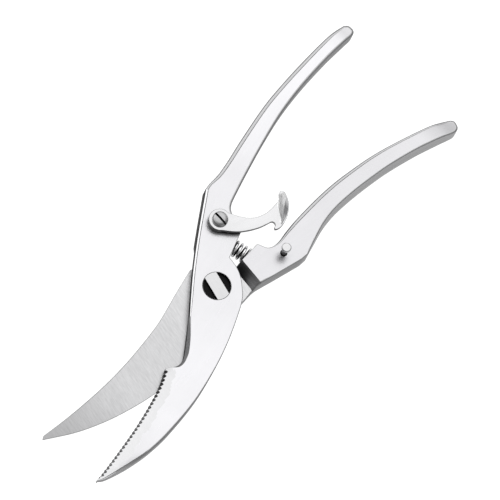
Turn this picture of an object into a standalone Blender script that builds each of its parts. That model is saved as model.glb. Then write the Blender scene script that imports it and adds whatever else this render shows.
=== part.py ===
"""Poultry shears: two forged levers on a screw pivot, with an opening spring and a safety latch.

The origin is on the pivot axis, in the plane that the closed back of the shears lies on.
+X runs to the handles, +Y is the front lever's handle side, and +Z points out of the front face.
"""

import math

import bmesh
import bpy
from mathutils import Matrix, Vector

MM = 0.001

# Thicknesses
FACE_Z = 10.0 * MM              # front face of both levers
BLADE_THICK = 4.85 * MM         # each blade at the pivot
SHEAR_GAP = 0.3 * MM            # running gap between the two blades
EDGE_ROUND = 0.9 * MM           # rounding of the front face's outer edges
CLEAR = 0.3 * MM                # gap between pieces that touch

# Angles about the pivot, in degrees
FRONT_SHOULDER = 17.0           # radial wall of the front lever that the spring pushes on
REAR_SHOULDER = -1.5            # the same wall on the rear lever
FRONT_STEP_DIR = 25.5           # direction in which the front lever steps down behind the pivot
REAR_STEP_DIR = -10.0           # direction in which the rear lever steps up beside the pivot
CLOSING_TURN = 17.0             # how far the rear lever turns to close

# Step between blade thickness and full thickness: a planar ramp
STEP_FOOT = 13.3 * MM           # distance of the ramp's foot from the pivot axis
STEP_TOP = 17.4 * MM            # distance of its top edge

# Blade grinding
TAPER_START = -40.0 * MM        # the blades get thinner from here to the tip
TIP_LOSS = 2.3 * MM             # thickness lost at the tip
GRIND_WIDTH = 5.5 * MM          # width of the ground band along each cutting edge
FRONT_EDGE_THICK = 1.6 * MM     # thickness left at the serrated edge
REAR_EDGE_THICK = 1.0 * MM      # thickness left at the plain edge
TEETH = 28
TOOTH_DEPTH = 0.75 * MM

# Pivot
HEAD_R = 6.6 * MM
HEAD_DEEP = 2.5 * MM
SHANK_R = 4.0 * MM
LUG_BAR = (-3.05 * MM, 3.75 * MM)  # the two edges of the bar between the recesses
LUG_DEEP = 1.6 * MM
LUG_TURN = -109                 # direction of the bar, in degrees
NUT_THICK = 1.6 * MM
NUT_FLOOR = 0.7 * MM
WASHER_THICK = 0.5 * MM
WASHER_CONE = 0.25 * MM

# Opening spring
COIL_R = 3.15 * MM              # to the middle of the wire
WIRE_R = 0.6 * MM
SPRING_REACH = 22.7 * MM        # distance of the spring's line from the pivot
SPRING_Z = FACE_Z / 2
BORE_R = 4.1 * MM
BORE_DEEP = 7.0 * MM
TURNS = 9

# Latch
LATCH_PIVOT = (24.0 * MM, 19.0 * MM)
LATCH_EYE_R = 5.2 * MM
LATCH_Z = 12.0 * MM
LATCH_THICK = 2.0 * MM
LIP_Z = 19.0 * MM               # crest of the thumb lip
SCREW_HEAD_R = 3.65 * MM
SCREW_HEAD_HIGH = 1.2 * MM
SCREW_SHANK_R = 2.0 * MM
SCREW_SLOT = 0.9 * MM
SPACER_R = 4.4 * MM
SPACER_HIGH = 0.8 * MM
WAVE_THICK = 0.3 * MM
HOOK_CENTRE = (38.4 * MM, -0.3 * MM)
HOOK_R = 1.5 * MM

# Stud that the hook catches
STUD_AT = (33.1 * MM, -12.55 * MM)
STUD_NECK_R = 1.25 * MM
STUD_HEAD_R = 2.3 * MM
STUD_TOP = 18.7 * MM
STUD_HEAD_HIGH = 1.4 * MM
STUD_ROOT = 6.0 * MM

ROUND_SIDES = 40


# ---------------------------------------------------------------- outlines

def mm_points(points):
    """Points given in millimetres, in metres."""
    return [Vector((x * MM, y * MM)) for x, y in points]


def smooth_line(points, steps=4):
    """A curve through the points (Catmull-Rom), with `steps` pieces between each two."""
    line = []
    for i in range(len(points) - 1):
        p1, p2 = points[i], points[i + 1]
        p0 = points[i - 1] if i else p1 * 2 - p2
        p3 = points[i + 2] if i + 2 < len(points) else p2 * 2 - p1
        for k in range(steps):
            t = k / steps
            line.append(0.5 * (2 * p1 + (p2 - p0) * t
                               + (2 * p0 - 5 * p1 + 4 * p2 - p3) * t ** 2
                               + (3 * p1 - 3 * p2 + p3 - p0) * t ** 3))
    line.append(points[-1].copy())
    return line


def arc(centre, radius, start, end, steps):
    """Points on an arc, angles in degrees."""
    turns = [math.radians(start + (end - start) * i / steps) for i in range(steps + 1)]
    return [Vector((centre[0] + radius * math.cos(a), centre[1] + radius * math.sin(a))) for a in turns]


def polar(radius, degrees):
    """Point at that distance and direction from the pivot."""
    a = math.radians(degrees)
    return Vector((radius * math.cos(a), radius * math.sin(a)))


def front_cutting_edge(steps=24):
    """The serrated edge, hollow towards the rear blade, from heel to tip."""
    return smooth_line(mm_points([(-45.8, -7.8), (-54.5, -11.2), (-64.6, -13.6), (-74.0, -15.3),
                                  (-84.0, -16.6), (-95.0, -17.7), (-108.2, -18.8)]), steps // 6)


def front_outline():
    """Plan of the front lever, anticlockwise from the tip."""
    spine = smooth_line(mm_points([(-108.2, -18.8), (-105.0, -21.4), (-97.3, -24.4), (-85.0, -27.5),
                                   (-68.3, -29.1), (-49.3, -28.2), (-31.4, -25.0), (-17.1, -21.1),
                                   (-3.8, -16.1), (3.4, -12.7), (7.9, -8.7), (11.2, -4.8),
                                   (13.3, -0.6), (14.5, 4.43)]))
    shoulder = [polar(28.6 * MM, FRONT_SHOULDER)]
    inside = smooth_line(mm_points([(29.2, 9.6), (30.0, 12.8), (31.4, 17.0), (34.2, 19.9),
                                    (41.0, 22.0), (53.9, 25.2), (68.3, 28.4), (84.2, 31.2),
                                    (100.6, 32.5), (118.3, 32.5), (131.0, 31.7), (135.6, 31.4),
                                    (137.8, 32.2), (138.5, 34.2), (138.1, 36.2), (136.6, 37.4),
                                    (131.0, 38.7), (123.6, 39.5), (109.0, 40.1), (93.7, 40.1),
                                    (80.2, 39.4), (61.8, 36.9), (49.9, 34.9), (41.7, 33.9),
                                    (35.5, 34.0)]))
    back = smooth_line(mm_points([(32.2, 33.7), (12.8, 22.2), (-1.6, 13.0), (-12.0, 5.6),
                                  (-19.6, -0.1), (-27.8, -5.5), (-33.6, -9.2), (-36.5, -10.8),
                                  (-38.7, -11.2), (-41.0, -10.8), (-43.3, -9.4)]))
    return spine + shoulder + inside + back + front_cutting_edge()[:-1]


def rear_cutting_edge(steps=42):
    """The plain edge, bellied, from the tip to the pivot."""
    return smooth_line(mm_points([(-109.0, 12.1), (-95.8, 3.1), (-83.2, -3.3), (-71.5, -7.7),
                                  (-59.7, -11.1), (-47.5, -13.3), (-34.0, -14.2), (-20.0, -13.6)]),
                       steps // 7)


def rear_outline():
    """Plan of the rear lever, anticlockwise from the tip."""
    lower = smooth_line(mm_points([(-20.0, -13.6), (-8.0, -12.9), (4.9, -13.3), (11.5, -13.5),
                                   (16.6, -14.8), (26.9, -18.0), (36.5, -20.9)]))
    handle = smooth_line(mm_points([(40.3, -21.3), (43.5, -20.6), (48.6, -19.5), (57.5, -17.7),
                                    (66.7, -17.3), (78.0, -18.4), (88.9, -20.2), (99.1, -22.4),
                                    (113.0, -26.5), (124.7, -30.8), (130.1, -32.9), (132.6, -33.6),
                                    (134.9, -33.1), (136.1, -31.2), (136.4, -29.5), (135.3, -28.0),
                                    (131.0, -25.4), (126.6, -23.2), (118.1, -19.7), (104.8, -14.9),
                                    (95.0, -12.0), (85.1, -9.8), (74.6, -7.9), (63.1, -6.8),
                                    (50.2, -6.4), (42.0, -6.7), (36.0, -7.3), (32.2, -6.8),
                                    (29.9, -5.2), (28.9, -2.6)]))
    shoulder = [polar(28.2 * MM, REAR_SHOULDER)]
    disc = arc((0, 0), 13.2 * MM, REAR_SHOULDER, 78, 14)
    back = smooth_line(mm_points([(-1.0, 14.4), (-13.5, 12.1), (-29.7, 8.9), (-44.3, 7.7),
                                  (-57.5, 7.4), (-70.3, 7.9), (-83.3, 9.2), (-95.5, 10.9),
                                  (-107.2, 13.0)]))
    return rear_cutting_edge()[:-1] + lower + handle + shoulder + disc + back


# ---------------------------------------------------------------- meshes

def steel(name, colour, roughness):
    """A metal material."""
    material = bpy.data.materials.new(name)
    material.use_nodes = True
    shader = material.node_tree.nodes["Principled BSDF"]
    shader.inputs["Base Color"].default_value = (*colour, 1.0)
    shader.inputs["Metallic"].default_value = 1.0
    shader.inputs["Roughness"].default_value = roughness
    return material


def new_object(name, bm, material=None):
    """An object from a bmesh, with its faces turned outwards."""
    bmesh.ops.recalc_face_normals(bm, faces=bm.faces)
    mesh = bpy.data.meshes.new(name)
    bm.to_mesh(mesh)
    bm.free()
    made = bpy.data.objects.new(name, mesh)
    bpy.context.scene.collection.objects.link(made)
    if material:
        mesh.materials.append(material)
    return made


def prism_mesh(outline, low, high):
    """A bmesh prism over a closed plan outline."""
    bm = bmesh.new()
    bottom = [bm.verts.new((p.x, p.y, low)) for p in outline]
    top = [bm.verts.new((p.x, p.y, high)) for p in outline]
    bm.faces.new(bottom)
    bm.faces.new(top)
    for i in range(len(outline)):
        j = (i + 1) % len(outline)
        bm.faces.new((bottom[i], bottom[j], top[j], top[i]))
    return bm


def turned(name, profile, centre=(0, 0), material=None, sides=ROUND_SIDES):
    """A round solid from a closed profile of (radius, z) corners, none of them on the axis twice."""
    bm = bmesh.new()
    rings = []
    for radius, z in profile:
        if radius == 0:
            rings.append([bm.verts.new((centre[0], centre[1], z))])
            continue
        turns = [2 * math.pi * k / sides for k in range(sides)]
        rings.append([bm.verts.new((centre[0] + radius * math.cos(a), centre[1] + radius * math.sin(a), z))
                      for a in turns])
    closed = profile[0][0] > 0
    pairs = list(zip(rings, rings[1:])) + ([(rings[-1], rings[0])] if closed else [])
    for lower, upper in pairs:
        for k in range(sides):
            corners = [lower[k % len(lower)], lower[(k + 1) % len(lower)],
                       upper[(k + 1) % len(upper)], upper[k % len(upper)]]
            bm.faces.new(list(dict.fromkeys(corners)))
    made = new_object(name, bm, material)
    made.data.shade_smooth()
    made.data.set_sharp_from_angle(angle=math.radians(35))
    return made


def cylinder(radius, low, high, centre=(0, 0)):
    """A plain cylinder to cut with."""
    return turned("cutter", [(0, low), (radius, low), (radius, high), (0, high)], centre)


def box(low, high, turn=0.0, about=(0, 0)):
    """A box between two corners, turned about a vertical axis, in degrees."""
    bm = bmesh.new()
    bmesh.ops.create_cube(bm, size=1.0)
    size = Vector(high) - Vector(low)
    middle = (Vector(high) + Vector(low)) / 2
    place = Matrix.Translation(middle) @ Matrix.Diagonal((*size, 1.0))
    spin = Matrix.Translation((*about, 0)) @ Matrix.Rotation(math.radians(turn), 4, "Z")
    bm.transform(spin @ place)
    return new_object("cutter", bm)


def combine(body, tool, operation):
    """Cuts `tool` out of `body`, or joins it on, and removes the tool."""
    modifier = body.modifiers.new("combine", "BOOLEAN")
    modifier.operation = operation
    modifier.solver = "EXACT"
    modifier.object = tool
    seen = body.evaluated_get(bpy.context.evaluated_depsgraph_get())
    mesh = bpy.data.meshes.new_from_object(seen)
    body.modifiers.remove(modifier)
    body.data = mesh
    bpy.data.objects.remove(tool)


def cut(body, tool):
    combine(body, tool, "DIFFERENCE")


def side_prism(section, depth_from, depth_to, direction):
    """A prism whose section lies in the plane of `direction` (degrees) and z, as (distance, z)."""
    bm = bmesh.new()
    near = [bm.verts.new((d, depth_from, z)) for d, z in section]
    far = [bm.verts.new((d, depth_to, z)) for d, z in section]
    bm.faces.new(near)
    bm.faces.new(far)
    for i in range(len(section)):
        j = (i + 1) % len(section)
        bm.faces.new((near[i], near[j], far[j], far[i]))
    bm.transform(Matrix.Rotation(math.radians(direction), 4, "Z"))
    return new_object("cutter", bm)


def outline_normals(line):
    """Unit vectors square to a line of points, to the left of its direction."""
    normals = []
    for i in range(len(line)):
        along = (line[min(i + 1, len(line) - 1)] - line[max(i - 1, 0)]).normalized()
        normals.append(Vector((-along.y, along.x)))
    return normals


def grind_cutter(line, inward, surface, at_edge, outside):
    """A wedge along a cutting edge. `inward` is +1 if the blade lies left of the line."""
    bm = bmesh.new()
    rows = []
    extended = [line[0] * 2 - line[1]] + line + [line[-1] * 2 - line[-2]]
    for point, normal in zip(extended, outline_normals(extended)):
        inner = point + normal * inward * GRIND_WIDTH
        slope = (at_edge - surface) / GRIND_WIDTH
        beyond = point - normal * inward * outside
        foot = at_edge + slope * outside
        roof = surface - slope * 2 * MM * 1.5
        past = inner + normal * inward * 1.5 * 2 * MM
        corners = [(past.x, past.y, roof), (beyond.x, beyond.y, foot), (beyond.x, beyond.y, roof)]
        rows.append([bm.verts.new(c) for c in corners])
    for a, b in zip(rows, rows[1:]):
        for k in range(3):
            m = (k + 1) % 3
            bm.faces.new((a[k], a[m], b[m], b[k]))
    bm.faces.new(rows[0])
    bm.faces.new(rows[-1])
    bmesh.ops.triangulate(bm, faces=list(bm.faces))
    return new_object("cutter", bm)


def lever_blank(name, outline, edge_is_sharp, taper_top, material):
    """A full-thickness lever: the plan outline extruded, thinned to the tip, front edges rounded."""
    bm = prism_mesh(outline, 0.0, FACE_Z)
    geometry = list(bm.verts) + list(bm.edges) + list(bm.faces)
    bmesh.ops.bisect_plane(bm, geom=geometry, dist=1e-6, plane_co=(TAPER_START, 0, 0), plane_no=(1, 0, 0))
    if taper_top:
        slope = TIP_LOSS / (TAPER_START + 108 * MM)
        for v in bm.verts:
            if v.co.z > FACE_Z / 2 and v.co.x < TAPER_START:
                v.co.z -= (TAPER_START - v.co.x) * slope
    bm.normal_update()
    rounded = []
    for e in bm.edges:
        ups = [f for f in e.link_faces if abs(f.normal.z) > 0.9 and f.calc_center_median().z > FACE_Z / 2]
        sides = [f for f in e.link_faces if abs(f.normal.z) < 0.1]
        if len(ups) == 1 and len(sides) == 1 and not edge_is_sharp(e):
            rounded.append(e)
    bmesh.ops.bevel(bm, geom=rounded, offset=EDGE_ROUND, offset_type="OFFSET", segments=2,
                    profile=0.5, affect="EDGES", clamp_overlap=False)
    return new_object(name, bm, material)


# ---------------------------------------------------------------- levers

def front_edge_is_sharp(edge):
    """True on the front blade's cutting edge, which keeps its corner until it is ground."""
    middle = (edge.verts[0].co + edge.verts[1].co) / 2
    nearest = min((Vector((middle.x, middle.y)) - p).length for p in front_cutting_edge(96))
    return nearest < 0.5 * MM


def rear_blade_is_sharp(edge):
    """True all along the rear blade, whose front face is the shear plane."""
    middle = (edge.verts[0].co + edge.verts[1].co) / 2
    return middle.x < 14.5 * MM


def teeth_cutter():
    """A row of saw-tooth notches square to the front cutting edge."""
    line = front_cutting_edge(96)
    lengths = [0.0]
    for a, b in zip(line, line[1:]):
        lengths.append(lengths[-1] + (b - a).length)
    normals = outline_normals(line)
    total = lengths[-1]

    def at(distance):
        distance = min(max(distance, 0.0), total * 0.9999)
        i = max(k for k in range(len(lengths) - 1) if lengths[k] <= distance)
        t = (distance - lengths[i]) / (lengths[i + 1] - lengths[i])
        return line[i].lerp(line[i + 1], t), normals[i]

    bm = bmesh.new()
    pitch = (total - 3.0 * MM) / TEETH
    for k in range(TEETH):
        start = 1.2 * MM + k * pitch
        root, square = at(start + pitch * 0.25)
        first, _ = at(start)
        last, _ = at(start + pitch * 0.86)
        inner = root + square * TOOTH_DEPTH
        plan = [first - square * 0.8 * MM, first, inner, last, last - square * 0.8 * MM]
        low = [bm.verts.new((p.x, p.y, 4.0 * MM)) for p in plan]
        high = [bm.verts.new((p.x, p.y, 11.0 * MM)) for p in plan]
        bm.faces.new(low)
        bm.faces.new(high)
        for i in range(len(plan)):
            j = (i + 1) % len(plan)
            bm.faces.new((low[i], low[j], high[j], high[i]))
    return new_object("cutter", bm)


def spring_bore(wall_degrees, into):
    """A flat-bottomed bore, square to a radial shoulder. `into` is +1 to bore anticlockwise."""
    bore = turned("cutter", [(0, -2 * MM), (BORE_R, -2 * MM), (BORE_R, BORE_DEEP), (0, BORE_DEEP)], sides=32)
    mouth = polar(SPRING_REACH, wall_degrees)
    away = polar(1.0, wall_degrees + 90 * into)
    bore.data.transform(Matrix.Translation((mouth.x, mouth.y, SPRING_Z))
                        @ away.to_3d().to_track_quat("Z", "Y").to_matrix().to_4x4())
    return bore


def front_lever(material):
    """Front blade, pivot boss and left handle: one forging."""
    body = lever_blank("front_lever", front_outline(), front_edge_is_sharp, True, material)
    shear = BLADE_THICK + SHEAR_GAP
    far = 130 * MM
    step = [(-far, -1 * MM), (STEP_TOP + 1 * MM * (STEP_TOP - STEP_FOOT) / shear, -1 * MM),
            (STEP_FOOT, shear), (-far, shear)]
    cut(body, side_prism(step, -far, far, FRONT_STEP_DIR))
    slope = (STEP_TOP - STEP_FOOT) / BLADE_THICK
    reach = STEP_FOOT - 0.5 * MM
    under = [(reach, shear - 2.5 * MM), (reach, shear), (reach + 3.5 * MM * slope, shear + 3.5 * MM),
             (reach + 3.5 * MM * slope, shear - 2.5 * MM)]
    cut(body, side_prism(under, -6 * MM, 2.45 * MM, REAR_STEP_DIR + CLOSING_TURN))
    cut(body, grind_cutter(front_cutting_edge(), 1, FACE_Z - 0.2 * MM, shear + FRONT_EDGE_THICK, 1.0 * MM))
    cut(body, teeth_cutter())
    cut(body, spring_bore(FRONT_SHOULDER, 1))
    cut(body, cylinder(HEAD_R + CLEAR, FACE_Z - HEAD_DEEP - CLEAR, FACE_Z + 1 * MM))
    cut(body, cylinder(SHANK_R + CLEAR, 0.0, FACE_Z))
    cut(body, cylinder(SCREW_SHANK_R + CLEAR, 3.7 * MM, FACE_Z + 1 * MM, LATCH_PIVOT))
    return body


def rear_lever(material):
    """Rear blade, ramp and right handle: one forging."""
    body = lever_blank("rear_lever", rear_outline(), rear_blade_is_sharp, False, material)
    far = 130 * MM
    slope = (STEP_TOP - STEP_FOOT) / (FACE_Z - BLADE_THICK)
    step = [(-far, BLADE_THICK), (STEP_FOOT, BLADE_THICK), (STEP_TOP + 1 * MM * slope, FACE_Z + 1 * MM),
            (-far, FACE_Z + 1 * MM)]
    cut(body, side_prism(step, -far, far, REAR_STEP_DIR))
    taper = [(TAPER_START, -1 * MM), (TAPER_START, 0.0), (-112 * MM, TIP_LOSS * 0.9), (-112 * MM, -1 * MM)]
    cut(body, side_prism(taper, -40 * MM, 40 * MM, 0))
    cut(body, spring_bore(REAR_SHOULDER, -1))
    well = NUT_THICK + WASHER_THICK + WASHER_CONE + 2 * CLEAR
    cut(body, cylinder(HEAD_R + CLEAR, -1 * MM, well))
    cut(body, cylinder(SHANK_R + CLEAR, -1 * MM, FACE_Z))
    cut(body, cylinder(STUD_NECK_R + CLEAR, STUD_ROOT - CLEAR, FACE_Z + 1 * MM, STUD_AT))
    cut(body, grind_cutter(rear_cutting_edge(), 1, 0.2 * MM, BLADE_THICK - REAR_EDGE_THICK, 1.0 * MM))
    return body


# ---------------------------------------------------------------- pivot

def pivot_screw(material):
    """Flush head with two D-shaped recesses beside a bar, and the shank that the levers turn on."""
    top = FACE_Z
    under = FACE_Z - HEAD_DEEP
    shank_end = NUT_FLOOR + CLEAR
    chamfer = 0.25 * MM
    body = turned("pivot_screw", [(0, shank_end), (SHANK_R - chamfer, shank_end),
                                  (SHANK_R, shank_end + chamfer), (SHANK_R, under), (HEAD_R, under),
                                  (HEAD_R, top - chamfer), (HEAD_R - chamfer, top), (0, top)],
                  material=material)
    far = 12 * MM
    for low, high in ((-far, LUG_BAR[0]), (LUG_BAR[1], far)):
        disc = cylinder(HEAD_R - 0.45 * MM, top - LUG_DEEP, top + 1 * MM)
        keep = box((-far, low, 0), (far, high, 2 * top), turn=LUG_TURN)
        combine(disc, keep, "INTERSECT")
        cut(body, disc)
    return body


def pivot_nut(material):
    """Closed flanged nut, flush with the back of the rear lever."""
    chamfer = 0.2 * MM
    return turned("pivot_nut", [(0, 0), (HEAD_R - chamfer, 0), (HEAD_R, chamfer), (HEAD_R, NUT_THICK),
                                (SHANK_R + CLEAR, NUT_THICK), (SHANK_R + CLEAR, NUT_FLOOR), (0, NUT_FLOOR)],
                  material=material)


def pivot_spring_washer(material):
    """Conical washer between the nut and the rear lever."""
    low = NUT_THICK + CLEAR
    inner, outer = SHANK_R + CLEAR, HEAD_R - 0.1 * MM
    return turned("pivot_spring_washer", [(inner, low + WASHER_CONE), (outer, low),
                                          (outer, low + WASHER_THICK),
                                          (inner, low + WASHER_CONE + WASHER_THICK)], material=material)


# ---------------------------------------------------------------- spring

def opening_spring(material):
    """Compression coil whose ends sit in the two bores and whose middle bends round the pivot."""
    inset = BORE_DEEP - CLEAR - WIRE_R
    bend = math.radians(FRONT_SHOULDER - REAR_SHOULDER)
    gap = SPRING_REACH * bend
    length = 2 * inset + gap

    def centre_line(s):
        """Point and direction at distance s from the end in the front lever."""
        if s < inset:
            wall = math.radians(FRONT_SHOULDER)
            back = inset - s
        elif s > inset + gap:
            wall = math.radians(REAR_SHOULDER)
            back = inset + gap - s
        else:
            wall = math.radians(FRONT_SHOULDER) - (s - inset) / SPRING_REACH
            back = 0.0
        out = Vector((math.cos(wall), math.sin(wall), 0))
        around = Vector((math.sin(wall), -math.cos(wall), 0))
        return out * SPRING_REACH - around * back, out

    curve = bpy.data.curves.new("opening_spring", "CURVE")
    curve.dimensions = "3D"
    curve.bevel_depth = WIRE_R
    curve.bevel_resolution = 1
    curve.use_fill_caps = True
    spline = curve.splines.new("POLY")
    steps = TURNS * 14
    spline.points.add(steps)
    for i in range(steps + 1):
        middle, out = centre_line(length * i / steps)
        a = 2 * math.pi * TURNS * i / steps
        p = middle + out * COIL_R * math.cos(a) + Vector((0, 0, SPRING_Z + COIL_R * math.sin(a)))
        spline.points[i].co = (*p, 1.0)
    made = bpy.data.objects.new("opening_spring", curve)
    bpy.context.scene.collection.objects.link(made)
    curve.materials.append(material)
    return made


# ---------------------------------------------------------------- latch

def latch_outline():
    """Plan of the latch: eye, arm, upper end of the thumb lip, its outer side, hook and notch."""
    eye = arc(LATCH_PIVOT, LATCH_EYE_R, -8, 222, 24)
    below = smooth_line(mm_points([(21.0, 14.5), (22.3, 12.6), (24.0, 10.4), (26.1, 8.2), (29.6, 5.5),
                                   (33.4, 3.2), (36.8, 1.8)]), 3)
    notch = arc(HOOK_CENTRE, HOOK_R, 62, -95, 8)
    outer = smooth_line(mm_points([(37.6, -2.6), (38.6, -3.4), (40.6, -3.9), (43.9, -3.6), (47.5, -2.3),
                                   (50.6, -0.2), (53.1, 2.5), (54.3, 5.3), (54.0, 6.9), (52.7, 7.2),
                                   (50.7, 6.1), (48.9, 5.1), (45.6, 4.9), (41.9, 5.2), (39.2, 6.0),
                                   (36.3, 7.4), (33.8, 9.7), (32.1, 12.0), (30.4, 15.2)]), 3)
    return eye + below + notch + outer


def thumb_lip():
    """Raised curved lip at the end of the latch, higher towards its free end."""
    outer = smooth_line(mm_points([(41.8, -3.7), (45.2, -3.1), (48.6, -1.5), (51.4, 0.7), (53.2, 3.2),
                                   (53.9, 5.9)]), 3)
    normals = outline_normals(outer)
    rows = []
    bm = bmesh.new()
    for i, (p, n) in enumerate(zip(outer, normals)):
        t = i / (len(outer) - 1)
        swell = math.sin(math.pi * (0.08 + 0.84 * t))
        rise = (LIP_Z - LATCH_Z - LATCH_THICK) * min(1.0, 0.15 + 1.5 * t) * (0.75 + 0.25 * swell)
        crest = LATCH_Z + LATCH_THICK + rise
        foot = LATCH_Z + LATCH_THICK * 0.5
        crest_in = 0.5 * MM + 1.5 * MM * swell
        wall_in = crest_in + 0.9 * MM
        profile = [(0.15 * MM, foot), (0.25 * MM, foot + 1.4 * MM + rise * 0.25), (crest_in, crest),
                   (crest_in + 0.35 * MM, crest - 0.1 * MM), (wall_in, crest - rise * 0.65), (wall_in, foot)]
        rows.append([bm.verts.new((p.x + n.x * d, p.y + n.y * d, z)) for d, z in profile])
    count = len(rows[0])
    for a, b in zip(rows, rows[1:]):
        for k in range(count):
            m = (k + 1) % count
            bm.faces.new((a[k], a[m], b[m], b[k]))
    bm.faces.new(rows[0])
    bm.faces.new(rows[-1])
    return new_object("cutter", bm)


def latch(material):
    """Arm with the eye it turns on, the hook, and the thumb lip."""
    body = new_object("latch", prism_mesh(latch_outline(), LATCH_Z, LATCH_Z + LATCH_THICK), material)
    combine(body, thumb_lip(), "UNION")
    cut(body, cylinder(SCREW_SHANK_R + CLEAR, LATCH_Z - 1 * MM, LATCH_Z + 3 * MM, LATCH_PIVOT))
    return body


def latch_screw(material):
    """Slotted shoulder screw that the latch turns on."""
    under = LATCH_Z + LATCH_THICK + CLEAR
    top = under + SCREW_HEAD_HIGH
    body = turned("latch_screw", [(0, 4 * MM), (SCREW_SHANK_R, 4 * MM), (SCREW_SHANK_R, under),
                                  (SCREW_HEAD_R, under), (SCREW_HEAD_R, top - 0.5 * MM),
                                  (SCREW_HEAD_R - 0.5 * MM, top - 0.1 * MM), (0, top)],
                  LATCH_PIVOT, material, 32)
    cut(body, box((-5 * MM, -SCREW_SLOT / 2, top - 0.8 * MM), (5 * MM, SCREW_SLOT / 2, top + 1 * MM),
                  turn=-97, about=LATCH_PIVOT))
    return body


def latch_collars(spacer_material, washer_material):
    """The collar that lifts the latch, and the thin wave washer on it."""
    low = FACE_Z + CLEAR
    inner = SCREW_SHANK_R + CLEAR
    turned("latch_spacer", [(inner, low), (SPACER_R, low), (SPACER_R, low + SPACER_HIGH),
                            (inner, low + SPACER_HIGH)], LATCH_PIVOT, spacer_material, 32)
    low += SPACER_HIGH + CLEAR
    turned("latch_wave_washer", [(inner, low), (SPACER_R, low), (SPACER_R, low + WAVE_THICK),
                                 (inner, low + WAVE_THICK)], LATCH_PIVOT, washer_material, 32)


def latch_stud(material):
    """Headed pin pressed into the right handle."""
    under = STUD_TOP - STUD_HEAD_HIGH
    return turned("latch_stud", [(0, STUD_ROOT), (STUD_NECK_R, STUD_ROOT), (STUD_NECK_R, under),
                                 (STUD_HEAD_R, under), (STUD_HEAD_R, STUD_TOP - 0.5 * MM),
                                 (STUD_HEAD_R - 0.5 * MM, STUD_TOP), (0, STUD_TOP)],
                  STUD_AT, material, 28)


# ---------------------------------------------------------------- assembly

def axis_empty(name, at, parts):
    """An empty on a joint's axis, with the pieces that turn about it."""
    empty = bpy.data.objects.new(name, None)
    empty.location = at
    bpy.context.scene.collection.objects.link(empty)
    for part in parts:
        part.parent = empty
        part.matrix_parent_inverse = Matrix.Translation(-Vector(at))


for old in list(bpy.data.objects):
    bpy.data.objects.remove(old)

front_steel = steel("front_lever_satin", (0.80, 0.80, 0.81), 0.30)
rear_steel = steel("rear_lever_ground", (0.74, 0.74, 0.75), 0.34)
screw_steel = steel("pivot_bright", (0.82, 0.82, 0.83), 0.20)
spring_steel = steel("spring_bright", (0.60, 0.60, 0.62), 0.15)
latch_steel = steel("latch_satin", (0.80, 0.80, 0.81), 0.28)
stud_steel = steel("stud_bright", (0.80, 0.80, 0.82), 0.18)

front_lever(front_steel)
rear = rear_lever(rear_steel)
pivot_screw(screw_steel)
nut = pivot_nut(screw_steel)
cone = pivot_spring_washer(spring_steel)
opening_spring(spring_steel)
arm = latch(latch_steel)
latch_screw(stud_steel)
latch_collars(stud_steel, spring_steel)
stud = latch_stud(stud_steel)

axis_empty("main_pivot_axis", (0, 0, 0), [rear, nut, cone, stud])
axis_empty("latch_pivot_axis", (*LATCH_PIVOT, 0), [arm])
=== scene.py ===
"""Poultry shears in satin steel: the finished pieces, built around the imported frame."""

import math  # noqa: E402

import bpy  # noqa: E402
import numpy as np  # noqa: E402
from mathutils import Matrix, Vector  # noqa: E402
from mathutils.geometry import delaunay_2d_cdt  # noqa: E402


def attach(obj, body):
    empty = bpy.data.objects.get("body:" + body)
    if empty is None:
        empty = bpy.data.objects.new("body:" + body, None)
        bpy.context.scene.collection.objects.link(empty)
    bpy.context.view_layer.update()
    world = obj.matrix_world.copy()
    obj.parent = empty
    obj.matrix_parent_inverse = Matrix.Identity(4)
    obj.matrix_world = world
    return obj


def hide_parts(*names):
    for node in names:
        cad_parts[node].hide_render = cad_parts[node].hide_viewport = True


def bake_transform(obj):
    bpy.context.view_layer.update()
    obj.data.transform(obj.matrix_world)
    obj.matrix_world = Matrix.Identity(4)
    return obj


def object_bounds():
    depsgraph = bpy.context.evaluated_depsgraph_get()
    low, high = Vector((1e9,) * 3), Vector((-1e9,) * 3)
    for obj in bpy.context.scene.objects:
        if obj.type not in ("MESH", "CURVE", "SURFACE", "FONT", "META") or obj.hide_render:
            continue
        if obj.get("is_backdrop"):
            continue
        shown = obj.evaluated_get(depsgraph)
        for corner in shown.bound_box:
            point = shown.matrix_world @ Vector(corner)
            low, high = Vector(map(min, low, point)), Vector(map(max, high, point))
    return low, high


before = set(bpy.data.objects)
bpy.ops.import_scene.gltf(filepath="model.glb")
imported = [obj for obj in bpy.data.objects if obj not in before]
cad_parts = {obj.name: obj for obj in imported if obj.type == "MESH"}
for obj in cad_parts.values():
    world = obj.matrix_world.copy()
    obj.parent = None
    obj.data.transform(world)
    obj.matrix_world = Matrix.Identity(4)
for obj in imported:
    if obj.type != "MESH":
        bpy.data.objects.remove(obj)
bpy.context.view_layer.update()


# ---------------------------------------------------------------- front lever
# Front blade, pivot boss and left handle, drop forged in one from knife steel. The face is ground and satin
# finished, its edges are rolled over, and the bone notch and the teeth are ground in last.

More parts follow.
